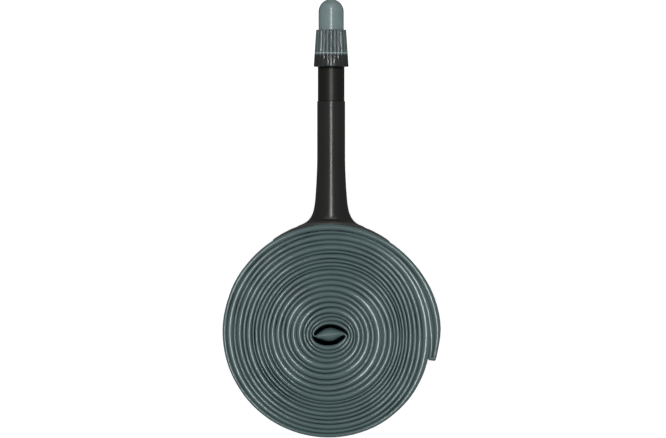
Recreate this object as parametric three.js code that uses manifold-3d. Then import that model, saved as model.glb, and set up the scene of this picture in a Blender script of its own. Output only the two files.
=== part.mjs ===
// A bicycle inner tube of thin thermoplastic polyurethane film with its valve.
// The tube is pressed flat, doubled at its two ends and wound into a roll that lies on its side.
// Frame: millimetres, +Z up along the roll's axis, origin where that axis meets the surface it lies on,
// +Y along the valve, from the roll to the tip of the dust cap.
import * as THREE from 'three';
import { mergeVertices } from 'three/addons/utils/BufferGeometryUtils.js';
import Module from 'manifold-3d';

const wasm = await Module();
wasm.setup();

// ---------------------------------------------------------------- driving dimensions
const GAP = 0.1; // clearance left between pieces that touch

// The flattened tube: two layers of film, lying as one run.
const FLAT_WIDTH = 38; // across the flattened tube, and so the height of the roll
const RUN_THICKNESS = 0.55; // two walls of film

// The roll. The doubled tube is a pair of runs, and each turn of the roll adds one pair.
const PAIR_PITCH = 2.07; // growth of the radius in one turn
const RADIUS_AT_BOTTOM = 3.25; // of the pair, where it first passes under the core
const START_DIRECTION = 5; // degrees from +X to where the winding starts
const BOTTOM_TURN = 95; // degrees wound between the start and the bottom of the roll
const FIRST_TURN = 66; // degrees wound where the regular turns begin
const LAST_TURN = 10 * 360 + 18; // degrees wound at the outer end
const STEP = 12; // degrees between the points of a run, which divides the length of the winding
const VALVE_TURN = LAST_TURN - 103; // degrees wound where the outer run passes under the valve
const ROLL_RADIUS = 24;
const OFF_CENTRE = -0.25; // the roll's middle beside the valve's line, in x
const WIDENING = 0.3; // of the outermost turn, sideways

// The valve. Heights are distances along +Y, and radii are about the valve's line.
const VALVE_Z = FLAT_WIDTH / 2;
const SIDES = 32; // of each round piece
const STEM_BORE = 1.6;
const SLEEVE_TOP = 51.4;
const SLEEVE_RADIUS = 3.1;
const SOCKET_FLOOR = 44;
const SOCKET_RADIUS = 2.5;
const INSERT_RADIUS = 2.95;
const INSERT_NECK = 58.8; // where the insert narrows to the cap's thread
const INSERT_TOP = 61.6;
const INSERT_SEAT = 48; // the ledge above which the insert's hole widens for the core
const CAP_THREAD_RADIUS = 2.6;
const CORE_BORE = 1.95;
const BARREL_FOOT = 46.2;
const BARREL_RADIUS = 1.4;
const GASKET_FOOT = 49;
const GASKET_TOP = 50.6;
const GROOVE_RADIUS = 1.25; // of the groove that holds the gasket
const CORE_TOP = 64.9;
const HEAD_RADIUS = 2.55;
const CORE_FLATS = 4.4; // across the two flats for the core key
const NEEDLE_FOOT = 43.6;
const NEEDLE_TOP = 71;
const NEEDLE_RADIUS = 0.65;
const NEEDLE_THREAD_RADIUS = 1.15;
const NUT_HEIGHT = 2;
const NUT_RADIUS = 2;
const NUT_FLUTES = 8;
const CAP_MOUTH = 59;
const CAP_SHOULDER = 67;
const CAP_DOME_CENTRE = 71.2;
const CAP_DOME_RADIUS = 2.8;
const CAP_WALL = 0.8;
const CAP_BORE = 2.75;
const CAP_MOUTH_RADIUS = 3.6; // at the foot of the ribs
const CAP_SHOULDER_RADIUS = 3.1;
const CAP_RIBS = 24;
const RIB_HEIGHT = 0.25;
const RIB_WIDTH = 0.42;

// The oval base that is welded to the tube under the stem.
const BASE_HALF_LENGTH = 13; // round the roll
const BASE_HALF_WIDTH = 12; // along the roll's axis
const BASE_THICKNESS = 0.65;
const BASE_EDGE = 0.25;
const FOOT_RADIUS = 7.5; // of the stem's flared foot, round the roll
const FOOT_NARROWING = 0.4; // share of that flare along the roll's axis

// ---------------------------------------------------------------- solids
// The solid of a closed three.js geometry, for the cuts and joins below.
function solidOf(geometry) {
  const bare = geometry.clone();
  for (const name of Object.keys(bare.attributes)) {
    if (name !== 'position') bare.deleteAttribute(name);
  }
  const merged = mergeVertices(bare, 1e-4);
  return new wasm.Manifold(new wasm.Mesh({
    numProp: 3,
    vertProperties: merged.attributes.position.array,
    triVerts: new Uint32Array(merged.index.array),
  }));
}

function geometryOf(solid) {
  const mesh = solid.getMesh();
  const geometry = new THREE.BufferGeometry();
  geometry.setAttribute('position', new THREE.BufferAttribute(mesh.vertProperties, 3));
  geometry.setIndex(new THREE.BufferAttribute(mesh.triVerts, 1));
  geometry.computeVertexNormals();
  return geometry;
}

// A round piece about +Y from [radius, y] pairs. A profile that does not start on the axis closes on itself.
function turned(profile, sides = SIDES) {
  const points = profile.map(([radius, y]) => new THREE.Vector2(radius, y));
  if (points[0].x > 0) points.push(points[0].clone());
  return new THREE.LatheGeometry(points, sides);
}

// A round bar about +Y, for cutting bores.
function bar(radius, from, to) {
  return solidOf(turned([[0, from], [radius, from], [radius, to], [0, to]]));
}

// ---------------------------------------------------------------- the winding
function bump(x, centre, width) {
  return Math.exp(-(((x - centre) / width) ** 2));
}

// A place in the roll: layer is the nominal radius there, and direction the angle from +X.
// The layers are spread a little wider half way out and closer near the core. The innermost ones are
// drawn out sideways into an eye, the middle of the roll sits low and to the left in it, and the
// outermost ones are a little wider than high.
function place(layer, direction) {
  const radius = layer + 0.85 * bump(layer, 12.8, 3) - 0.4 * bump(layer, 5.5, 1.5);
  const stretch = 2.6 * Math.exp(-layer / 3.6) + WIDENING * (layer / ROLL_RADIUS) ** 6;
  const sideways = OFF_CENTRE - 0.5 * bump(layer, 9, 3);
  const upwards = -0.3 + 0.55 * (layer / ROLL_RADIUS) ** 6;
  return new THREE.Vector2(
    (radius + stretch) * Math.cos(direction) + sideways,
    radius * Math.sin(direction) + upwards,
  );
}

// A point of the winding, turned degrees after its start. side is 1 on the outer run of the pair and
// -1 on the inner one. The last stretch is drawn in towards the roll.
function winding(turned, side) {
  const pair = RADIUS_AT_BOTTOM + (PAIR_PITCH * (turned - BOTTOM_TURN)) / 360;
  const drawnIn = 0.3 * THREE.MathUtils.smoothstep(turned, LAST_TURN - 120, LAST_TURN - 50);
  const direction = THREE.MathUtils.degToRad(START_DIRECTION - turned);
  return place(pair + (side * PAIR_PITCH) / 4 - drawnIn, direction);
}

// The points of one run between two angles of winding, first to last.
function run(side, from, to) {
  const steps = Math.round(Math.abs(to - from) / STEP);
  return Array.from({ length: steps + 1 }, (_, i) => winding(from + ((to - from) * i) / steps, side));
}

// The half turn that joins the two runs at the outer end, from the outer run to the inner one.
function outerFold() {
  const [outer, inner] = [winding(LAST_TURN, 1), winding(LAST_TURN, -1)];
  const middle = outer.clone().add(inner).multiplyScalar(0.5);
  const arm = outer.clone().sub(middle);
  const pivot = new THREE.Vector2();
  return [1, 2, 3].map((i) => arm.clone().rotateAround(pivot, (-i * Math.PI) / 4).add(middle));
}

// The inner end: the outer run arches over the eye and folds back at the left-hand tip, and the inner
// run crosses the eye to meet it.
const INNER_FOLD = [
  [3.45, -2.1], [3.95, -1.3], [4.08, -0.5], [3.98, 0.3], [3.5, 1.1], [2.7, 1.8], [1.5, 2.33], [0, 2.5],
  [-1.5, 2.3], [-2.65, 1.7], [-3.35, 0.95], [-3.6, 0.2], [-3.35, -0.4], [-2.75, -0.5], [-1.9, -0.3],
  [-1, -0.1], [0, 0], [1, 0.08], [2, 0.06], [2.8, -0.08], [3.25, -0.42], [3.35, -0.9], [3, -1.5],
].map(([x, y]) => new THREE.Vector2(x + OFF_CENTRE, y));

// The middle line of the whole closed loop: out along the outer run and back along the inner one.
function loopLine() {
  return [
    ...run(1, FIRST_TURN, LAST_TURN),
    ...outerFold(),
    ...run(-1, LAST_TURN, FIRST_TURN),
    ...INNER_FOLD.toReversed(),
  ];
}

// A line moved sideways, to its left where distance is positive.
function shifted(line, distance, closed) {
  const last = line.length - 1;
  return line.map((point, i) => {
    const before = line[i > 0 ? i - 1 : closed ? last : 0];
    const after = line[i < last ? i + 1 : closed ? 0 : last];
    const along = after.clone().sub(before).normalize();
    return new THREE.Vector2(point.x - along.y * distance, point.y + along.x * distance);
  });
}

function extrudedUp(shape, height) {
  return new THREE.ExtrudeGeometry(shape, { depth: height, steps: 1, bevelEnabled: false });
}

// ---------------------------------------------------------------- the tube
const half = RUN_THICKNESS / 2;

function rolledTube() {
  const line = loopLine();
  const shape = new THREE.Shape(shifted(line, half, true));
  shape.holes.push(new THREE.Path(shifted(line, -half, true).toReversed()));
  const roll = solidOf(extrudedUp(shape, FLAT_WIDTH));
  const surface = winding(VALVE_TURN, 1).y + half;
  const airHole = bar(STEM_BORE, surface - half, surface + 1).translate([0, 0, VALVE_Z]);
  return geometryOf(roll.subtract(airHole));
}

// ---------------------------------------------------------------- the stem's base
// The stretch of the outer run that the base lies on, at the same points as the tube's own outline.
function bedLine() {
  return run(1, LAST_TURN - 13 * STEP, LAST_TURN - 4 * STEP);
}

// The closed outline between the bed moved out by two distances, the second one given at each point.
function bedOutline(near, farAt) {
  const bed = bedLine();
  const far = bed.map((_, i) => shifted(bed, farAt(bed[i]), false)[i]);
  return new THREE.Shape([...shifted(bed, near, false), ...far.toReversed()]);
}

function baseTop(point) {
  const share = Math.min(1, Math.abs(point.x) / BASE_HALF_LENGTH);
  return half + GAP + BASE_EDGE + (BASE_THICKNESS - BASE_EDGE) * (1 - share ** 2);
}

function stemBase() {
  const saddle = solidOf(extrudedUp(bedOutline(half + GAP, baseTop), FLAT_WIDTH));
  const oval = new THREE.CylinderGeometry(1, 1, ROLL_RADIUS, SIDES * 2);
  oval.scale(BASE_HALF_LENGTH, 1, BASE_HALF_WIDTH).translate(0, ROLL_RADIUS, VALVE_Z);
  const airHole = bar(STEM_BORE, ROLL_RADIUS - 3, ROLL_RADIUS + 3).translate([0, 0, VALVE_Z]);
  return geometryOf(saddle.intersect(solidOf(oval)).subtract(airHole));
}

// ---------------------------------------------------------------- the stem
// Draws a flared round piece in along the roll's axis.
function narrowed(geometry) {
  const place = geometry.attributes.position;
  for (let i = 0; i < place.count; i++) {
    const radius = Math.hypot(place.getX(i), place.getZ(i));
    const kept = SLEEVE_RADIUS + Math.max(0, radius - SLEEVE_RADIUS) * FOOT_NARROWING;
    if (radius > SLEEVE_RADIUS) place.setZ(i, (place.getZ(i) * kept) / radius);
  }
  return geometry;
}

// The moulded sleeve flares at its foot, most of all round the roll, and sits on the curved base.
function stemSleeve() {
  const belowFoot = ROLL_RADIUS - 3;
  const chamfer = 0.2;
  const flare = new THREE.SplineCurve([
    [FOOT_RADIUS, 24.05], [6.2, 24.75], [5.2, 25.35], [4.4, 26.2], [3.8, 27.5], [3.5, 30.1], [3.25, 34.1],
    [SLEEVE_RADIUS, 38.5],
  ].map(([radius, y]) => new THREE.Vector2(radius, y)));
  const outline = flare.getPoints(16).map((point) => [point.x, point.y]);
  const body = solidOf(narrowed(turned([
    [STEM_BORE, belowFoot], [FOOT_RADIUS, belowFoot], ...outline,
    [SLEEVE_RADIUS, SLEEVE_TOP - chamfer], [SLEEVE_RADIUS - chamfer, SLEEVE_TOP], [SOCKET_RADIUS, SLEEVE_TOP],
    [SOCKET_RADIUS, SOCKET_FLOOR], [STEM_BORE, SOCKET_FLOOR],
  ]))).translate([0, 0, VALVE_Z]);
  const bed = solidOf(extrudedUp(bedOutline(-ROLL_RADIUS / 2, (point) => baseTop(point) + GAP), FLAT_WIDTH));
  return geometryOf(body.subtract(bed));
}

// The insert is pressed into the sleeve's socket, carries the core inside and the cap's thread outside.
function threadedInsert() {
  const pressed = SOCKET_RADIUS - GAP;
  const shoulder = SLEEVE_TOP + GAP;
  const chamfer = 0.2;
  return turned([
    [STEM_BORE, SOCKET_FLOOR + GAP], [pressed, SOCKET_FLOOR + GAP], [pressed, shoulder],
    [INSERT_RADIUS, shoulder], [INSERT_RADIUS, INSERT_NECK - 0.3], [CAP_THREAD_RADIUS, INSERT_NECK],
    [CAP_THREAD_RADIUS, INSERT_TOP - chamfer], [CAP_THREAD_RADIUS - chamfer, INSERT_TOP],
    [CORE_BORE, INSERT_TOP], [CORE_BORE, INSERT_SEAT + 0.6], [STEM_BORE, INSERT_SEAT],
  ]);
}

// ---------------------------------------------------------------- the valve core
// The core screws into the insert. Its barrel hangs in the stem, and its head carries the lock nut.
function coreBody() {
  const headFoot = INSERT_TOP + GAP;
  const screwRadius = CORE_BORE - GAP;
  const shaftBore = NEEDLE_RADIUS + 0.3;
  const threadBore = NEEDLE_THREAD_RADIUS + 0.15;
  const threadFoot = 58.8;
  const chamfer = 0.25;
  const body = solidOf(turned([
    [shaftBore, BARREL_FOOT], [BARREL_RADIUS, BARREL_FOOT], [BARREL_RADIUS, GASKET_FOOT],
    [GROOVE_RADIUS, GASKET_FOOT], [GROOVE_RADIUS, GASKET_TOP], [screwRadius, GASKET_TOP],
    [screwRadius, headFoot], [HEAD_RADIUS, headFoot], [HEAD_RADIUS, CORE_TOP - chamfer],
    [HEAD_RADIUS - chamfer, CORE_TOP], [threadBore, CORE_TOP], [threadBore, threadFoot],
    [shaftBore, threadFoot - 0.4],
  ]));
  const [depth, height, width] = [2, 4, 8];
  const flats = [-1, 1].map((side) => solidOf(new THREE.BoxGeometry(depth, height, width)
    .translate((side * (CORE_FLATS + depth)) / 2, headFoot + height / 2 - GAP / 2, 0)));
  return geometryOf(body.subtract(flats[0]).subtract(flats[1]));
}

function coreGasket() {
  const inner = GROOVE_RADIUS + GAP;
  const bulge = CORE_BORE - GAP / 2;
  const shoulder = bulge - 0.15;
  return turned([
    [inner, GASKET_FOOT + GAP], [shoulder, GASKET_FOOT + GAP], [bulge, (GASKET_FOOT + GASKET_TOP) / 2],
    [shoulder, GASKET_TOP - GAP], [inner, GASKET_TOP - GAP],
  ]);
}

// The needle is threaded above for the lock nut, and has a small head at each end.
function needle() {
  const threadFoot = CORE_TOP - 3;
  const tip = 1.35;
  return turned([
    [0, NEEDLE_FOOT], [0.9, NEEDLE_FOOT], [0.9, NEEDLE_FOOT + 0.6], [NEEDLE_RADIUS, NEEDLE_FOOT + 0.6],
    [NEEDLE_RADIUS, threadFoot - 0.4], [NEEDLE_THREAD_RADIUS, threadFoot],
    [NEEDLE_THREAD_RADIUS, NEEDLE_TOP - 0.7], [tip, NEEDLE_TOP - 0.5], [tip, NEEDLE_TOP - 0.3],
    [1, NEEDLE_TOP], [0, NEEDLE_TOP],
  ]);
}

// The washer sits on the needle's foot and carries the seal, which closes the core's barrel.
const washerFoot = NEEDLE_FOOT + 0.6 + GAP;
const washerTop = washerFoot + 0.55;
const sealBore = NEEDLE_RADIUS + 0.07;

function needleSeal() {
  const foot = washerTop + GAP;
  const top = BARREL_FOOT - GAP;
  return turned([[sealBore, foot], [1.3, foot], [1.3, top - 0.4], [1.1, top], [sealBore, top]]);
}

function sealWasher() {
  return turned([[sealBore, washerFoot], [1.2, washerFoot], [1.2, washerTop], [sealBore, washerTop]]);
}

// The lock nut is fluted for the fingers and bears on the top of the core.
function lockNut() {
  const foot = CORE_TOP + GAP;
  const top = foot + NUT_HEIGHT;
  const bore = NEEDLE_THREAD_RADIUS + 0.08;
  const bevel = 0.3;
  const blank = solidOf(turned([
    [bore, foot], [NUT_RADIUS - bevel, foot], [NUT_RADIUS, foot + bevel], [NUT_RADIUS, top - bevel],
    [NUT_RADIUS - bevel, top], [bore, top],
  ]));
  const flute = new THREE.CylinderGeometry(0.25, 0.25, NUT_HEIGHT + 1, 8)
    .translate(NUT_RADIUS + 0.05, (foot + top) / 2, 0);
  const flutes = Array.from({ length: NUT_FLUTES }, (_, i) => (
    solidOf(flute).rotate([0, ((i + 0.5) * 360) / NUT_FLUTES, 0])));
  return geometryOf(flutes.reduce((nut, cut) => nut.subtract(cut), blank));
}

// ---------------------------------------------------------------- the dust cap
// A quarter circle from the side of a dome up to its pole on the axis.
function domeArc(radius, steps) {
  return Array.from({ length: steps + 1 }, (_, i) => {
    const angle = (i * Math.PI) / 2 / steps;
    return [i === steps ? 0 : radius * Math.cos(angle), CAP_DOME_CENTRE + radius * Math.sin(angle)];
  });
}

// A domed cap with a tapered, ribbed skirt, which screws on to the insert.
function dustCap() {
  const innerRadius = CAP_DOME_RADIUS - CAP_WALL;
  const [boreTop, taperTop] = [66.2, 68.2];
  const rounding = 0.1;
  const shell = solidOf(turned([
    ...domeArc(innerRadius, 5).toReversed(), [innerRadius, taperTop], [CAP_BORE, boreTop],
    [CAP_BORE, CAP_MOUTH], [CAP_MOUTH_RADIUS, CAP_MOUTH], [CAP_SHOULDER_RADIUS, CAP_SHOULDER - rounding],
    [CAP_SHOULDER_RADIUS - rounding, CAP_SHOULDER], [CAP_DOME_RADIUS, CAP_SHOULDER],
    ...domeArc(CAP_DOME_RADIUS, 8),
  ], CAP_RIBS * 2));
  const height = CAP_SHOULDER - CAP_MOUTH;
  const middle = [(CAP_MOUTH_RADIUS + CAP_SHOULDER_RADIUS) / 2, (CAP_MOUTH + CAP_SHOULDER) / 2];
  const lean = Math.atan2(CAP_MOUTH_RADIUS - CAP_SHOULDER_RADIUS, height);
  const rib = new THREE.BoxGeometry(2 * RIB_HEIGHT, height + 1, RIB_WIDTH)
    .rotateZ(lean).translate(...middle, 0);
  const skirt = solidOf(new THREE.BoxGeometry(20, height, 20).translate(0, middle[1], 0));
  const ribs = Array.from({ length: CAP_RIBS }, (_, i) => (
    solidOf(rib).rotate([0, (i * 360) / CAP_RIBS, 0]).intersect(skirt)));
  return geometryOf(ribs.reduce((cap, one) => cap.add(one), shell));
}

// ---------------------------------------------------------------- assembly
const film = new THREE.MeshStandardMaterial({ color: 0x4e5f60, roughness: 0.42, metalness: 0 });
const blackResin = new THREE.MeshStandardMaterial({ color: 0x242423, roughness: 0.4, metalness: 0 });
const baseResin = new THREE.MeshStandardMaterial({ color: 0x4a4742, roughness: 0.45, metalness: 0 });
const anodised = new THREE.MeshStandardMaterial({ color: 0x191919, roughness: 0.5, metalness: 0.6 });
const nickel = new THREE.MeshStandardMaterial({ color: 0xc9c5b8, roughness: 0.25, metalness: 1 });
const rubber = new THREE.MeshStandardMaterial({ color: 0x1b1b1b, roughness: 0.8, metalness: 0 });
const clearResin = new THREE.MeshStandardMaterial({ color: 0x71807f, roughness: 0.2, metalness: 0 });

const innerTube = new THREE.Group();

function addPiece(parent, name, geometry, material) {
  const mesh = new THREE.Mesh(geometry, material);
  mesh.name = name;
  parent.add(mesh);
}

addPiece(innerTube, 'rolled_tube', rolledTube(), film);
addPiece(innerTube, 'stem_base', stemBase(), baseResin);
addPiece(innerTube, 'stem_sleeve', stemSleeve(), blackResin);

// Everything on the valve's own axis.
const valve = new THREE.Group();
valve.position.z = VALVE_Z;
addPiece(valve, 'threaded_insert', threadedInsert(), anodised);
addPiece(valve, 'core_body', coreBody(), nickel);
addPiece(valve, 'core_gasket', coreGasket(), rubber);
addPiece(valve, 'needle', needle(), nickel);
addPiece(valve, 'needle_seal', needleSeal(), rubber);
addPiece(valve, 'seal_washer', sealWasher(), nickel);
addPiece(valve, 'lock_nut', lockNut(), nickel);
addPiece(valve, 'dust_cap', dustCap(), clearResin);
innerTube.add(valve);

export default innerTube;
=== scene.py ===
# A rolled-up bicycle inner tube of thin plastic film, lying on its side, with its valve and dust cap.
import math

import bmesh
import bpy
from mathutils import Matrix, Vector, noise


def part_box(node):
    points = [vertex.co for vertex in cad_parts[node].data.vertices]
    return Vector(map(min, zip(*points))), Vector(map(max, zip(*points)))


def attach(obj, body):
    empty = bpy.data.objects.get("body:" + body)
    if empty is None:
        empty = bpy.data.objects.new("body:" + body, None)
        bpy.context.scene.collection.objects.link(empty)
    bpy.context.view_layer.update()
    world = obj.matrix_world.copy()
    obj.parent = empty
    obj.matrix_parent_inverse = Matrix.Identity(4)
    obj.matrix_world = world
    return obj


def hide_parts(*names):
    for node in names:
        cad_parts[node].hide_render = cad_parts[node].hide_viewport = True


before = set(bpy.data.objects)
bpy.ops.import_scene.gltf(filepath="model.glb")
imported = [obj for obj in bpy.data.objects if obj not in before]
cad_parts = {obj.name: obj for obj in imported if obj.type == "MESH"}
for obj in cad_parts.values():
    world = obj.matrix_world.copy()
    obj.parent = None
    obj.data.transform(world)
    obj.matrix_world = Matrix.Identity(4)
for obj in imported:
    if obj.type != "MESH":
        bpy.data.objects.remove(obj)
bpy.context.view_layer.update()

# ---- The rolled tube -------------------------------------------------------------------------
# One loop of tube, blown from thin grey polyurethane film, pressed flat and wound up double. Seen on
# its end, each flattened run shows as a soft ridge, where the film turns over at the tube's edge.
# Every run fills the room between its neighbours, and the inner end lies folded across the eye.
MM = 0.001
ROLL_RADIUS = 24
PAIR_PITCH = 2.07  # growth of the roll's radius in one turn, which adds two runs
HALF_RUN = PAIR_PITCH / 4
RADIUS_AT_BOTTOM = 3.25  # of the pair of runs, where it first passes under the eye
START_DIRECTION = 5  # angles here are in degrees
BOTTOM_TURN = 95
FIRST_TURN = 66
LAST_TURN = 3618
TURN_STEP = 3.75
OFF_CENTRE = -0.25  # the roll's middle beside the valve's line, in x
WIDENING = 0.3  # of the outermost turn, sideways
OUTER_RISE = 0.55  # of the outermost turn, towards the valve
EYE_STRETCH = 2.6  # how far the innermost turn is drawn out sideways
SIDE_SLACK = 1.3  # how much room the two outermost turns have gained on the right
END_DRAWN_IN = 0.42  # how far the outer end is drawn in towards the roll
END_THINNING = 0.4
END_CORNER = 1.22  # reach of the square fold's corners at the outer end, in half thicknesses
FILL = 0.99  # of the room between two neighbouring runs
LOOSE = 0.12  # how much less of it they fill where the roll is slack
TOUCHING = 0.998  # of the room, halfway down, where neighbouring runs press on each other
CREST_STEPS = (1, 0.98, 0.93, 0.82, 0.62, 0.38, 0.2, 0.08)  # shares of the way from crest to foot
CREST_DEPTH = 0.38
CREST_SHARPNESS = 0.24  # share of the way over which a crest is round
PUFFED_DEPTH = 0.65  # how much deeper the ridge is where the tube is puffed up
EYE_BELLY = 2.4  # half the thickness, halfway down, of the run across the eye
roll_low, roll_high = (corner.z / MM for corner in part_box("rolled_tube"))

# Middle of the run round the eye, and half its thickness: up the right, over the top, and back across
# the eye from the left-hand tip, where the tube still holds a little air.
EYE_FOLD = [
    (3.15, -2.5, 0.46), (3.92, -1.55, 0.38), (4.25, -0.55, 0.33), (4.1, 0.35, 0.33), (3.5, 1.15, 0.36),
    (2.6, 1.85, 0.4), (1.4, 2.35, 0.42), (0, 2.52, 0.42), (-1.4, 2.3, 0.4), (-2.6, 1.65, 0.36),
    (-3.35, 0.9, 0.3), (-3.68, 0.2, 0.24), (-3.62, -0.35, 0.2), (-3.15, -0.5, 0.24), (-2.5, -0.45, 0.6),
    (-1.6, -0.3, 1.08), (-0.6, -0.18, 1.4), (0.4, -0.1, 1.42), (1.3, -0.02, 1.15), (2.1, 0.05, 0.78),
    (2.75, 0.05, 0.42), (3.25, -0.08, 0.27), (3.55, -0.5, 0.27), (3.4, -1.15, 0.34), (2.7, -1.9, 0.44),
]


def hump(x, centre, width):
    return math.exp(-(((x - centre) / width) ** 2))


def eased(x, low, high):
    """0 below low, 1 above high, and a smooth rise between them."""
    share = min(1, max(0, (x - low) / (high - low)))
    return share * share * (3 - 2 * share)


def place(layer, direction):
    """The point of the roll in a layer, which is its nominal radius, in a direction from +X."""
    # The layers wave a little, spread half way out, and close up near the eye.
    uneven = 0.12 * math.sin(2.9 * layer + 1.1 * math.sin(direction + 0.6))
    uneven += 0.07 * math.sin(1.7 * layer + 2 * direction)
    uneven *= min(1, layer / 8)
    spread = 0.85 * hump(layer, 12.8, 3) - 0.4 * hump(layer, 5.5, 1.5)
    gained = eased(layer, 12, 20.5) - eased(layer, 20.5, ROLL_RADIUS)
    slack = SIDE_SLACK * gained * max(0, math.cos(direction)) ** 4
    radius = layer + uneven + spread - slack
    outermost = (layer / ROLL_RADIUS) ** 6
    stretch = EYE_STRETCH * math.exp(-layer / 3.6) + WIDENING * outermost
    sideways = OFF_CENTRE - 0.5 * hump(layer, 9, 3)
    return Vector((
        (radius + stretch) * math.cos(direction) + sideways,
        radius * math.sin(direction) - 0.3 + OUTER_RISE * outermost,
    ))


def wound(angle, side):
    """The left and right edge of a run at an angle of winding: side is 1 outside and -1 inside."""
    drawn_in = END_DRAWN_IN * eased(angle, LAST_TURN - 120, LAST_TURN - 50)
    pair = RADIUS_AT_BOTTOM + PAIR_PITCH * (angle - BOTTOM_TURN) / 360 - drawn_in
    half_run = HALF_RUN * (1 - END_THINNING * eased(angle, LAST_TURN - 20, LAST_TURN))
    direction = math.radians(START_DIRECTION - angle)
    return [place(pair + (side + way) * half_run, direction) for way in (side, -side)]


def between(points, steps):
    """A smooth line through a list of points, with the steps between each two of them."""
    line = []
    for a, b, c, d in zip(points, points[1:], points[2:], points[3:]):
        for i in range(steps):
            t = i / steps
            line.append(0.5 * (2 * b + (c - a) * t + (2 * a - 5 * b + 4 * c - d) * t ** 2
                               + (3 * b - a - 3 * c + d) * t ** 3))
    return line + [points[-2].copy()]


def edges_beside(line):
    """The left and right edge at each point of a line whose third number is half the thickness."""
    edges = []
    for before, here, after in zip(line, line[1:], line[2:]):
        along = (after - before).to_2d().normalized()
        aside = Vector((-along.y, along.x)) * here.z
        edges.append([here.to_2d() + aside, here.to_2d() - aside])
    return edges


def middle(edges):
    """The point between two edges, and half the thickness there."""
    left, right = edges
    return Vector(((left.x + right.x) / 2, (left.y + right.y) / 2, (left - right).length / 2))


# The run goes out along the outer side of the pair, round a squared fold at the outer end, and back
# along the inner side to the eye.
winding_steps = round((LAST_TURN - FIRST_TURN) / TURN_STEP)
angles = [FIRST_TURN + i * (LAST_TURN - FIRST_TURN) / winding_steps for i in range(winding_steps + 1)]
way_out = [wound(angle, 1) for angle in angles]
way_back = [wound(angle, -1) for angle in reversed(angles)]
end_pivot = way_out[-1][1]
end_arm = (way_out[-1][0] - way_back[0][0]) / 2
outer_end = []
for swing in (math.radians(-degrees) for degrees in range(10, 180, 10)):
    squared = min(END_CORNER, 1 / max(abs(math.sin(swing)), abs(math.cos(swing))))
    outer_end.append([end_pivot + Matrix.Rotation(swing, 2) @ end_arm * squared, end_pivot.copy()])
fold_points = [Vector(point) + Vector((OFF_CENTRE, 0, 0)) for point in EYE_FOLD]
fold_line = between([middle(way_out[1]), middle(way_out[0]), *fold_points, middle(way_back[-1]),
                     middle(way_back[-2])], 6)
eye_fold = [[right, left] for left, right in reversed(edges_beside(fold_line))]
stations = way_out + outer_end + way_back + eye_fold
first_of_eye = len(stations) - len(eye_fold)
lengths = [0]
for before, here in zip(stations, stations[1:] + stations[:1]):
    lengths.append(lengths[-1] + (here[0] + here[1] - before[0] - before[1]).length / 2)


def wander(run_length, wave, row):
    """A slow change along the run, between -1 and 1, with about one wave in so many millimetres."""
    return noise.noise(Vector((run_length / wave, row, 0)))


def crossing(station, run_length, in_eye, fill):
    """The points round one station of the run: share of the way to the left edge, and height."""
    half = (station[0] - station[1]).length / 2
    crest = 0.35 * wander(run_length, 28.6, 3)
    top = roll_high - 0.14 - 0.12 * wander(run_length, 50, 7)
    bottom = roll_low + 0.08 + 0.08 * wander(run_length, 50, 11)
    depth = CREST_DEPTH + 0.1 * wander(run_length, 20, 15)
    sharp = CREST_SHARPNESS * min(1, HALF_RUN / half) ** 1.5
    belly = TOUCHING / fill
    if in_eye:
        puffed = eased(half, 0.45, 0.95)
        crest *= 1 - puffed
        depth += PUFFED_DEPTH * puffed
        sharp = CREST_SHARPNESS + 0.5 * puffed
        belly = EYE_BELLY / half
    # The crest, from the left edge over to the right one: a ridge that rounds off at its feet.
    points = []
    for across in [*CREST_STEPS, 0, *[-step for step in reversed(CREST_STEPS)]]:
        share = crest + (1 - crest if across > 0 else 1 + crest) * across
        ridge = (math.hypot(across, sharp) - sharp) / (math.hypot(1, sharp) - sharp)
        foot = eased(abs(across), 0.6, 1.1) / eased(1, 0.6, 1.1)
        points.append((share, top - depth * (ridge + foot) / 2))
    # The walls draw in below it, meet their neighbours halfway down, and end in a round lower edge.
    walls = [(0.74, 0.7), (0.6, 2.4)]
    points += [(-share, top - depth - drop) for share, drop in walls]
    points.append((-belly, (top + bottom) / 2))
    points += [(-share, bottom + depth + rise) for share, rise in reversed(walls)]
    for angle in (math.pi * i / 8 for i in range(9)):
        points.append((-math.cos(angle), bottom + depth * (1 - math.sin(angle))))
    points += [(share, bottom + depth + rise) for share, rise in walls]
    points.append((belly, (top + bottom) / 2))
    points += [(share, top - depth - drop) for share, drop in reversed(walls)]
    return points


def finished(name, bm, smooth=True):
    """The bmesh as an object that shows, in its place."""
    mesh = bpy.data.meshes.new(name)
    bm.to_mesh(mesh)
    bm.free()
    for face in mesh.polygons:
        face.use_smooth = smooth
    piece = bpy.data.objects.new(name, mesh)
    bpy.context.scene.collection.objects.link(piece)
    return piece


fills = []
for i, (left, right) in enumerate(stations):
    slack = max(0, noise.noise(Vector((left.x * 0.16, left.y * 0.16, i * 0.004))))
    fills.append(1 if i >= first_of_eye else FILL - LOOSE * min(1, 2.2 * slack))
rings = []
for i, station in enumerate(stations):
    rings.append(crossing(station, lengths[i], i >= first_of_eye, fills[i]))
around = len(rings[0])
girth = [0]
for (share, height), (next_share, next_height) in zip(rings[0], rings[0][1:] + rings[0][:1]):
    girth.append(girth[-1] + math.hypot((next_share - share) * HALF_RUN, next_height - height))

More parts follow.
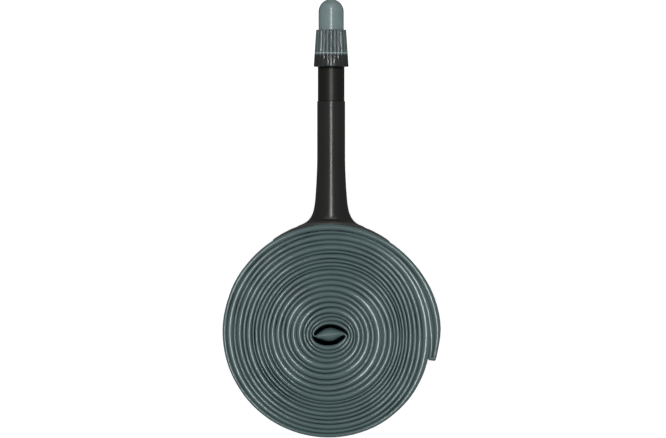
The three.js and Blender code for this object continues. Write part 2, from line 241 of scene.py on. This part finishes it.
# A grid is rolled up: its columns go along the run and its rows round it. Its map of the film, along
# the tube and across it, is in real lengths.
bm = bmesh.new()
bmesh.ops.create_grid(bm, x_segments=len(stations), y_segments=around, size=0.5)
film_map = bm.loops.layers.uv.new("Film")
columns = {}
for vert in bm.verts:
    columns[vert] = (round((vert.co.x + 0.5) * len(stations)), round((vert.co.y + 0.5) * around))
for face in bm.faces:
    for loop in face.loops:
        i, j = columns[loop.vert]
        loop[film_map].uv = (lengths[i] * MM, girth[j] * MM)
for vert, (i, j) in columns.items():
    here = i % len(stations)
    left, right = stations[here]
    share, height = rings[here][j % around]
    spot = (left + right) / 2 + (left - right) / 2 * share * fills[here]
    vert.co = Vector((spot.x, spot.y, height)) * MM
bmesh.ops.remove_doubles(bm, verts=bm.verts, dist=1e-7)
bmesh.ops.recalc_face_normals(bm, faces=bm.faces)
tube = finished("rolled_film_tube", bm)
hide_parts("rolled_tube")
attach(tube, "tube_and_stem")


def linear(colour):
    """A colour given as sRGB hex, in linear light."""
    parts = [int(colour[i:i + 2], 16) / 255 for i in (1, 3, 5)]
    return [part / 12.92 if part <= 0.04045 else ((part + 0.055) / 1.055) ** 2.4 for part in parts] + [1]


def every(length):
    """The scale of a pattern whose features are so many millimetres apart."""
    return 1 / (length * MM)


def surfaced(name, **inputs):
    """A material with a shader of those inputs, for the pattern that is added to it."""
    material = bpy.data.materials.new(name)
    material.use_nodes = True
    shader = material.node_tree.nodes["Principled BSDF"]
    for socket, value in inputs.items():
        shader.inputs[socket.replace("_", " ")].default_value = value
    return material, shader


def add(material, kind, inputs, **settings):
    """A node with its settings, and its inputs given as values or as the sockets that feed them."""
    node = material.node_tree.nodes.new(kind)
    for name, value in settings.items():
        setattr(node, name, value)
    for name, value in inputs.items():
        if isinstance(value, bpy.types.NodeSocket):
            material.node_tree.links.new(value, node.inputs[name])
        else:
            node.inputs[name].default_value = value
    return node


def feed(material, source, socket):
    material.node_tree.links.new(source, socket)


# Polyurethane film, blown and slit: smooth, with a clear gloss. The die leaves faint lines along it,
# folding leaves soft creases across it, and it is a little cloudier in places.
film, shader = surfaced("blown_polyurethane_film", Roughness=0.16, IOR=1.5)
way = add(film, "ShaderNodeUVMap", {}, uv_map="Film")
place_in = add(film, "ShaderNodeTexCoord", {})
die_way = add(film, "ShaderNodeMapping", {"Vector": way.outputs["UV"],
                                          "Scale": (every(83), every(0.67), 1)})
lines = add(film, "ShaderNodeTexNoise", {"Vector": die_way.outputs["Vector"], "Scale": 1, "Detail": 2})
fold_way = add(film, "ShaderNodeMapping", {"Vector": way.outputs["UV"],
                                           "Scale": (every(3.3), every(17), 1)})
creases = add(film, "ShaderNodeTexNoise", {"Vector": fold_way.outputs["Vector"], "Scale": 1, "Detail": 2})
clouds = add(film, "ShaderNodeTexNoise", {"Vector": place_in.outputs["Object"], "Scale": every(5.3),
                                          "Detail": 3})
shade = add(film, "ShaderNodeMix", {"Factor": clouds.outputs["Fac"], "A": linear("#2e393a"),
                                    "B": linear("#364445")}, data_type="RGBA")
gloss = add(film, "ShaderNodeMapRange", {"Value": creases.outputs["Fac"], "To Min": 0.12, "To Max": 0.2})
relief = add(film, "ShaderNodeMath", {0: lines.outputs["Fac"], 1: 0.2, 2: creases.outputs["Fac"]},
             operation="MULTIPLY_ADD")
bumps = add(film, "ShaderNodeBump", {"Height": relief.outputs["Value"], "Strength": 0.1,
                                     "Distance": 0.04 * MM})
feed(film, shade.outputs["Result"], shader.inputs["Base Color"])
feed(film, gloss.outputs["Result"], shader.inputs["Roughness"])
feed(film, bumps.outputs["Normal"], shader.inputs["Normal"])
tube.data.materials.append(film)

# ---- The stem's base ---------------------------------------------------------------------------
# An oval patch of smoky moulded polyurethane, welded to the outer layer of the roll under the stem.
# It is thickest in the middle and thins out to its rim, and follows the curve of the roll.
VALVE_Z = 19
BASE_RADII = (13, 12)  # round the roll and along its axis
BASE_HOLE = 1.6
BASE_PROFILE = [(BASE_HOLE, 0.75), (3, 0.74), (6, 0.64), (9, 0.5), (11, 0.38), (12.4, 0.27), (12.85, 0.2),
                (13, 0.1), (12.9, 0), (9, 0), (6, 0), (BASE_HOLE, 0), (BASE_HOLE, 0.75)]
under_valve = [edges[0] for edges in way_out[-44:-14]]


def bed(x):
    """Height of the roll's outer film beside the line of the valve."""
    for before, after in zip(under_valve, under_valve[1:]):
        if before.x <= x <= after.x:
            return before.y + (after.y - before.y) * (x - before.x) / (after.x - before.x)


def turned(profile, steps):
    """A solid of revolution about the valve's line, from radii and heights along it."""
    bm = bmesh.new()
    verts = [bm.verts.new((radius * MM, y * MM, VALVE_Z * MM)) for radius, y in profile]
    edges = [bm.edges.new(pair) for pair in zip(verts, verts[1:])]
    bmesh.ops.spin(bm, geom=verts + edges, cent=(0, 0, VALVE_Z * MM), axis=(0, 1, 0),
                   angle=2 * math.pi, steps=steps, use_merge=True)
    bmesh.ops.remove_doubles(bm, verts=bm.verts, dist=1e-7)
    bmesh.ops.recalc_face_normals(bm, faces=bm.faces)
    return bm


bm = turned(BASE_PROFILE, 96)
for vert in bm.verts:
    vert.co.z = (vert.co.z - VALVE_Z * MM) * BASE_RADII[1] / BASE_RADII[0] + VALVE_Z * MM
    vert.co.y += bed(vert.co.x / MM) * MM
patch = finished("smoky_stem_base", bm)
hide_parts("stem_base")
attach(patch, "tube_and_stem")

# Moulded polyurethane, left smoky: smooth, slightly cloudy, and grey-brown where it is thick.
smoky, shader = surfaced("smoky_moulded_polyurethane", Roughness=0.4, IOR=1.5)
place_in = add(smoky, "ShaderNodeTexCoord", {})
clouds = add(smoky, "ShaderNodeTexNoise", {"Vector": place_in.outputs["Object"], "Scale": every(3.8),
                                           "Detail": 3})
shade = add(smoky, "ShaderNodeMix", {"Factor": clouds.outputs["Fac"], "A": linear("#2a2826"),
                                     "B": linear("#3a3734")}, data_type="RGBA")
bumps = add(smoky, "ShaderNodeBump", {"Height": clouds.outputs["Fac"], "Strength": 0.2,
                                      "Distance": 0.05 * MM})
feed(smoky, shade.outputs["Result"], shader.inputs["Base Color"])
feed(smoky, bumps.outputs["Normal"], shader.inputs["Normal"])
patch.data.materials.append(smoky)

# ---- The stem ----------------------------------------------------------------------------------
# One moulding of black polyurethane, which flares at its foot and lies on the base. Its top end is a
# socket for the threaded insert, with a small chamfer round the mouth.
FLARE = [(7.6, 24.25), (7.64, 24.5), (7.5, 24.74), (7.1, 24.84), (6.4, 24.92), (5.6, 25.12), (4.85, 25.6),
         (4.25, 26.4), (3.87, 27.4), (3.62, 28.8), (3.5, 30.1), (3.36, 32), (3.25, 34.1), (3.15, 36.3),
         (3.1, 38.6)]
FOOT_NARROWING = 0.4  # share of the flare along the roll's axis
FOOT_TOP = 24.6  # below which the foot follows the curve of the roll in full
FOLLOWED = 4  # height over which it stops following it
SLEEVE_RADIUS = 3.1
SLEEVE_TOP = 51.4
SOCKET = [(2.5, SLEEVE_TOP), (2.5, 44), (1.6, 44), (1.6, 24.7)]
flare = [Vector(point) for point in FLARE]
stem_profile = [tuple(point) for point in between([flare[0], *flare, flare[-1]], 3)]
stem_profile += [(SLEEVE_RADIUS, 42), (SLEEVE_RADIUS, 47), (SLEEVE_RADIUS, SLEEVE_TOP - 0.12),
                 (SLEEVE_RADIUS - 0.03, SLEEVE_TOP - 0.03), (SLEEVE_RADIUS - 0.12, SLEEVE_TOP), *SOCKET]
stem_profile.append(stem_profile[0])
bm = turned(stem_profile, 96)
for vert in bm.verts:
    radius = math.hypot(vert.co.x, vert.co.z - VALVE_Z * MM) / MM
    if radius > SLEEVE_RADIUS:
        narrowing = (SLEEVE_RADIUS + (radius - SLEEVE_RADIUS) * FOOT_NARROWING) / radius
        vert.co.z = VALVE_Z * MM + (vert.co.z - VALVE_Z * MM) * narrowing
    following = 1 - eased(vert.co.y / MM, FOOT_TOP, FOOT_TOP + FOLLOWED)
    vert.co.y -= (bed(0) - bed(vert.co.x / MM)) * MM * following
stem = finished("moulded_stem", bm)
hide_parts("stem_sleeve")
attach(stem, "tube_and_stem")

# Black moulded polyurethane: an even satin skin with a very fine mould texture, and faint smears.
black, shader = surfaced("black_moulded_polyurethane", Roughness=0.25, IOR=1.5, Specular_IOR_Level=0.3)
place_in = add(black, "ShaderNodeTexCoord", {})
grain = add(black, "ShaderNodeTexNoise", {"Vector": place_in.outputs["Object"], "Scale": every(0.45),
                                          "Detail": 2})
smears = add(black, "ShaderNodeTexNoise", {"Vector": place_in.outputs["Object"], "Scale": every(7),
                                           "Detail": 3})
shade = add(black, "ShaderNodeMix", {"Factor": smears.outputs["Fac"], "A": linear("#0d0c0b"),
                                     "B": linear("#131211")}, data_type="RGBA")
gloss = add(black, "ShaderNodeMapRange", {"Value": smears.outputs["Fac"], "To Min": 0.2, "To Max": 0.28})
bumps = add(black, "ShaderNodeBump", {"Height": grain.outputs["Fac"], "Strength": 0.15,
                                      "Distance": 0.02 * MM})
feed(black, shade.outputs["Result"], shader.inputs["Base Color"])
feed(black, gloss.outputs["Result"], shader.inputs["Roughness"])
feed(black, bumps.outputs["Normal"], shader.inputs["Normal"])
stem.data.materials.append(black)

# ---- The threaded insert -----------------------------------------------------------------------
# A black anodised aluminium sleeve, pressed into the stem. Its plain lower part shows below the cap,
# and a fine thread for the cap is cut round its narrower top.
INSERT_FOOT = [(2.4, 44.1), (2.4, 51.43), (2.9, 51.43), (2.94, 51.45), (2.95, 51.5)]
INSERT_SHOULDER = [(2.95, 54), (2.95, 56.5), (2.95, 58.9), (2.92, 58.95), (2.45, 58.96)]
INSERT_HOLE = [(2.4, 61.5), (2.3, 61.6), (1.95, 61.6), (1.95, 48.6), (1.6, 48), (1.6, 44.1), (2.4, 44.1)]
THREAD_FOOT = 58.95
THREAD_PITCH = 0.8
THREAD_TURNS = 3
ROOT_RADIUS = 2.35
THREAD_RADIUS = 2.6
insert_profile = INSERT_FOOT + INSERT_SHOULDER
for y in (THREAD_FOOT + turn * THREAD_PITCH for turn in range(THREAD_TURNS)):
    insert_profile += [(ROOT_RADIUS, y), (THREAD_RADIUS, y + 0.3), (THREAD_RADIUS, y + 0.4),
                       (ROOT_RADIUS, y + 0.7)]
insert = finished("threaded_valve_insert", turned(insert_profile + INSERT_HOLE, 72))
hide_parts("threaded_insert")
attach(insert, "tube_and_stem")

# Aluminium, turned and black anodised: near black, dull, with fine tool marks round it.
anodised, shader = surfaced("black_anodised_aluminium", Roughness=0.36, Metallic=0.7)
place_in = add(anodised, "ShaderNodeTexCoord", {})
tool_way = add(anodised, "ShaderNodeMapping", {"Vector": place_in.outputs["Object"],
                                               "Scale": (every(17), every(0.17), every(17))})
tool_marks = add(anodised, "ShaderNodeTexNoise", {"Vector": tool_way.outputs["Vector"], "Scale": 1,
                                                  "Detail": 2})
shade = add(anodised, "ShaderNodeMix", {"Factor": tool_marks.outputs["Fac"], "A": linear("#131311"),
                                        "B": linear("#1b1b18")}, data_type="RGBA")
bumps = add(anodised, "ShaderNodeBump", {"Height": tool_marks.outputs["Fac"], "Strength": 0.15,
                                         "Distance": 0.01 * MM})
feed(anodised, shade.outputs["Result"], shader.inputs["Base Color"])
feed(anodised, bumps.outputs["Normal"], shader.inputs["Normal"])
insert.data.materials.append(anodised)

# ---- Brass parts of the valve ------------------------------------------------------------------
# The core, its needle, the washer and the lock nut are brass, turned on a lathe and nickel plated:
# bright, pale and warm, with fine tool marks round them.
nickel, shader = surfaced("nickel_plated_brass", Roughness=0.3, Metallic=1.0)
place_in = add(nickel, "ShaderNodeTexCoord", {})
tool_way = add(nickel, "ShaderNodeMapping", {"Vector": place_in.outputs["Object"],
                                             "Scale": (every(5), every(0.2), every(5))})
tool_marks = add(nickel, "ShaderNodeTexNoise", {"Vector": tool_way.outputs["Vector"], "Scale": 1,
                                                "Detail": 2})
shade = add(nickel, "ShaderNodeMix", {"Factor": tool_marks.outputs["Fac"], "A": linear("#b3ad9f"),
                                      "B": linear("#d0cbbd")}, data_type="RGBA")
bumps = add(nickel, "ShaderNodeBump", {"Height": tool_marks.outputs["Fac"], "Strength": 0.2,
                                       "Distance": 0.01 * MM})
feed(nickel, shade.outputs["Result"], shader.inputs["Base Color"])
feed(nickel, bumps.outputs["Normal"], shader.inputs["Normal"])


def finish_as(names, material):
    """Gives the CAD's own pieces their material."""
    for name in names:
        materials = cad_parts[name].data.materials
        materials.clear()
        materials.append(material)


finish_as(("core_body", "needle", "seal_washer", "lock_nut"), nickel)

# ---- Rubber seals ------------------------------------------------------------------------------
# The gasket round the core and the plug on the needle's foot are moulded in black nitrile rubber:
# dull and near black, with a fine grain.
nitrile, shader = surfaced("moulded_nitrile_rubber", Roughness=0.75)
place_in = add(nitrile, "ShaderNodeTexCoord", {})
grain = add(nitrile, "ShaderNodeTexNoise", {"Vector": place_in.outputs["Object"], "Scale": every(0.33),
                                            "Detail": 3})
shade = add(nitrile, "ShaderNodeMix", {"Factor": grain.outputs["Fac"], "A": linear("#171717"),
                                       "B": linear("#262625")}, data_type="RGBA")
feed(nitrile, shade.outputs["Result"], shader.inputs["Base Color"])
finish_as(("core_gasket", "needle_seal"), nitrile)

# ---- The dust cap ------------------------------------------------------------------------------
# Moulded in translucent grey plastic, open below. A domed end stands on a tapered skirt with ribs for
# the fingers, which fade towards its mouth.
CAP_MOUTH = 59
CAP_SHOULDER = 67.2
CAP_RIBS = 24
STEPS_PER_RIB = 10
RIB_HEIGHT = 0.24
FOOT_RIBS = 0.1  # how much of their height the ribs keep at the mouth
MOUTH_RADIUS = 3.62
SHOULDER_RADIUS = 3.1
RIB_ROOM = 2.95  # radius beyond which a point is on the ribbed outside
CAP_BORE = 2.75
DOME_RADIUS = 2.8
DOME_CENTRE = 71.2
WALL = 0.8
CHAMFER = 0.12


def dome(radius, step):
    """A quarter circle from the side of the cap's dome up to its pole, in steps of so many degrees."""
    points = []
    for angle in (math.radians(degrees) for degrees in range(0, 90, step)):
        points.append((radius * math.cos(angle), DOME_CENTRE + radius * math.sin(angle)))
    return points + [(0, DOME_CENTRE + radius)]


skirt_foot = Vector((MOUTH_RADIUS, CAP_MOUTH + CHAMFER))
skirt_top = Vector((SHOULDER_RADIUS, CAP_SHOULDER - 0.08))
skirt = [tuple(skirt_foot.lerp(skirt_top, i / 10)) for i in range(11)]
cap_profile = dome(DOME_RADIUS - WALL, 9)[::-1]
cap_profile += [(2.0, 68.2), (CAP_BORE, 66.2), (CAP_BORE, CAP_MOUTH + 0.1), (CAP_BORE + 0.1, CAP_MOUTH),
                (MOUTH_RADIUS - CHAMFER, CAP_MOUTH), *skirt, (SHOULDER_RADIUS - CHAMFER, CAP_SHOULDER),
                (DOME_RADIUS + 0.02, CAP_SHOULDER), (DOME_RADIUS, CAP_SHOULDER + 0.08), (DOME_RADIUS, 69)]
cap_profile += dome(DOME_RADIUS, 6)
bm = turned(cap_profile, CAP_RIBS * STEPS_PER_RIB)
groove_shade_layer = bm.verts.layers.float.new("GrooveShade")
for vert in bm.verts:
    x, y, z = vert.co.x / MM, vert.co.y / MM, vert.co.z / MM - VALVE_Z
    radius = math.hypot(x, z)
    if CAP_MOUTH - 0.01 < y < CAP_SHOULDER + 0.01 and radius > RIB_ROOM:
        groove = (0.5 - 0.5 * math.cos(CAP_RIBS * math.atan2(z, x))) ** 2
        ribbed = FOOT_RIBS + (1 - FOOT_RIBS) * eased(y, CAP_MOUTH + 1, CAP_MOUTH + 2.8)
        grown = (radius + RIB_HEIGHT * (1 - groove * ribbed)) / radius
        vert.co.x, vert.co.z = x * grown * MM, (z * grown + VALVE_Z) * MM
        # Painted shade mask: darkens the ribbed skirt, most between the ribs.
        vert[groove_shade_layer] = 0.42 + 0.58 * groove
cap = finished("ribbed_dust_cap", bm)
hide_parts("dust_cap")
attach(cap, "dust_cap")

# Translucent polypropylene, moulded: cloudy grey-green with a soft gloss. The ribbed skirt has painted
# shade, darkest between the ribs. The foot has painted shade, near black up to about the end of the
# insert inside it, and a thin painted highlight band just above that.
# Heights between which the foot's painted shade fades out, and of the painted highlight band above it.
INSERT_END = (61.5 * MM, 61.9 * MM)
HIGHLIGHT_BAND_HEIGHT = 62.05 * MM
cloudy, shader = surfaced("translucent_moulded_polypropylene", Roughness=0.24, IOR=1.49,
                          Transmission_Weight=0.15, Subsurface_Weight=0.15, Subsurface_Scale=0.001)
place_in = add(cloudy, "ShaderNodeTexCoord", {})
clouds = add(cloudy, "ShaderNodeTexNoise", {"Vector": place_in.outputs["Object"], "Scale": every(3.1),
                                            "Detail": 2})
shade = add(cloudy, "ShaderNodeMix", {"Factor": clouds.outputs["Fac"], "A": linear("#536363"),
                                      "B": linear("#627272")}, data_type="RGBA")
# Painted shade over the ribbed skirt, darkest between the ribs.
groove = add(cloudy, "ShaderNodeAttribute", {}, attribute_name="GrooveShade")
groove_shade_painted = add(cloudy, "ShaderNodeMix", {"Factor": groove.outputs["Fac"], "A": shade.outputs["Result"],
                                        "B": linear("#141e20")}, data_type="RGBA")
# Painted shade: the foot near black below the insert's end inside it, fading out above.
apart = add(cloudy, "ShaderNodeSeparateXYZ", {"Vector": place_in.outputs["Object"]})
painted_foot_shade_mask = add(cloudy, "ShaderNodeMapRange", {"Value": apart.outputs["Y"], "From Min": INSERT_END[0],
                                            "From Max": INSERT_END[1], "To Min": 0.93, "To Max": 0},
             interpolation_type="SMOOTHSTEP")
foot_shade_painted = add(cloudy, "ShaderNodeMix", {"Factor": painted_foot_shade_mask.outputs["Result"], "A": groove_shade_painted.outputs["Result"],
                                       "B": linear("#060909")}, data_type="RGBA")
# Painted highlight: a thin light band round the cap's foot.
above_highlight_band = add(cloudy, "ShaderNodeMath", {0: apart.outputs["Y"], 1: HIGHLIGHT_BAND_HEIGHT}, operation="SUBTRACT")
off_highlight_band = add(cloudy, "ShaderNodeMath", {0: above_highlight_band.outputs["Value"]}, operation="ABSOLUTE")
highlight_band_mask = add(cloudy, "ShaderNodeMapRange", {"Value": off_highlight_band.outputs["Value"], "From Min": 0.04 * MM,
                                             "From Max": 0.16 * MM, "To Min": 0.35, "To Max": 0})
highlight_band_painted = add(cloudy, "ShaderNodeMix", {"Factor": highlight_band_mask.outputs["Result"],
                                        "A": foot_shade_painted.outputs["Result"],
                                        "B": linear("#b4c4c3")}, data_type="RGBA")
bumps = add(cloudy, "ShaderNodeBump", {"Height": clouds.outputs["Fac"], "Strength": 0.1,
                                       "Distance": 0.03 * MM})
feed(cloudy, highlight_band_painted.outputs["Result"], shader.inputs["Base Color"])
feed(cloudy, bumps.outputs["Normal"], shader.inputs["Normal"])
cap.data.materials.append(cloudy)

# ---- Floor, light and camera -------------------------------------------------------------------
# A sheet of white card to lie on, lit from below, and pale walls all round that darken towards the
# floor. The card's glow is soft, and isn't mirrored in the pieces.
bm = bmesh.new()
bmesh.ops.create_grid(bm, x_segments=1, y_segments=1, size=3)
floor = finished("white_card", bm, smooth=False)
floor.visible_glossy = False
card, shader = surfaced("white_card", Roughness=0.9, Emission_Color=(1, 1, 1, 1), Emission_Strength=0.7)
place_in = add(card, "ShaderNodeTexCoord", {})
fibres = add(card, "ShaderNodeTexNoise", {"Vector": place_in.outputs["Object"], "Scale": every(1.1),
                                          "Detail": 3})
shade = add(card, "ShaderNodeMix", {"Factor": fibres.outputs["Fac"], "A": linear("#f4f4f4"),
                                    "B": linear("#f8f8f8")}, data_type="RGBA")
feed(card, shade.outputs["Result"], shader.inputs["Base Color"])
floor.data.materials.append(card)

walls = bpy.data.worlds.new("pale_studio")
bpy.context.scene.world = walls
walls.use_nodes = True
background = walls.node_tree.nodes["Background"]
background.inputs["Color"].default_value = (1, 1, 1, 1)
around_us = add(walls, "ShaderNodeTexCoord", {})
apart = add(walls, "ShaderNodeSeparateXYZ", {"Vector": around_us.outputs["Generated"]})
dusk = add(walls, "ShaderNodeMapRange", {"Value": apart.outputs["Z"], "From Min": -1, "From Max": 0.8,
                                         "To Min": 0.05, "To Max": 0.65})
feed(walls, dusk.outputs["Result"], background.inputs["Strength"])


def soft_box(name, size, place, power, lit, colour="#ffffff"):
    """A soft box that looks at the object's middle and lights only the pieces in a list."""
    light = bpy.data.lights.new(name, "AREA")
    light.shape = "RECTANGLE"
    light.size, light.size_y = size
    light.energy = power
    light.color = linear(colour)[:3]
    box = bpy.data.objects.new(name, light)
    box.location = place
    box.rotation_euler = (Vector(place) - Vector((0, 0.025, 0.019))).to_track_quat("Z", "X").to_euler()
    bpy.context.scene.collection.objects.link(box)
    box.visible_camera = False
    in_its_light = bpy.data.collections.new(name)
    for piece in lit:
        in_its_light.objects.link(piece)
    box.light_linking.receiver_collection = in_its_light


# A soft box on either side draws a thin line along the crests at the roll's two sides. The valve has
# a long narrow one above it, for the line down its middle, and a panel beyond its end.
valve_pieces = [stem, insert, cap] + [node for name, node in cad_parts.items()
                                      if name not in ("rolled_tube", "stem_base")]
for side in (-1, 1):
    soft_box("side_box", (0.13, 0.46), (side * 0.19, 0.025, 1.0), 6.6, [tube, patch], "#f4fffd")
soft_box("strip_above", (1.5, 0.09), (0, 0.06, 1.0), 13, valve_pieces)
soft_box("panel_beyond", (0.12, 1.2), (0, 1.45, 0.95), 5, valve_pieces)

# The camera looks straight down from far away. Its distance is what shows VIEW_WIDTH at the roll's top.
VIEW_WIDTH = 146.4 * MM
LOOKS_AT = (0.41 * MM, 25.27 * MM)
camera_data = bpy.data.cameras.new("camera")
camera_data.sensor_width = 36
camera_data.lens = 600
camera = bpy.data.objects.new("camera", camera_data)
height = roll_high * MM + VIEW_WIDTH * camera_data.lens / camera_data.sensor_width
camera.location = (*LOOKS_AT, height)
bpy.context.scene.collection.objects.link(camera)
bpy.context.scene.camera = camera
bpy.context.scene.view_settings.view_transform = "Standard"
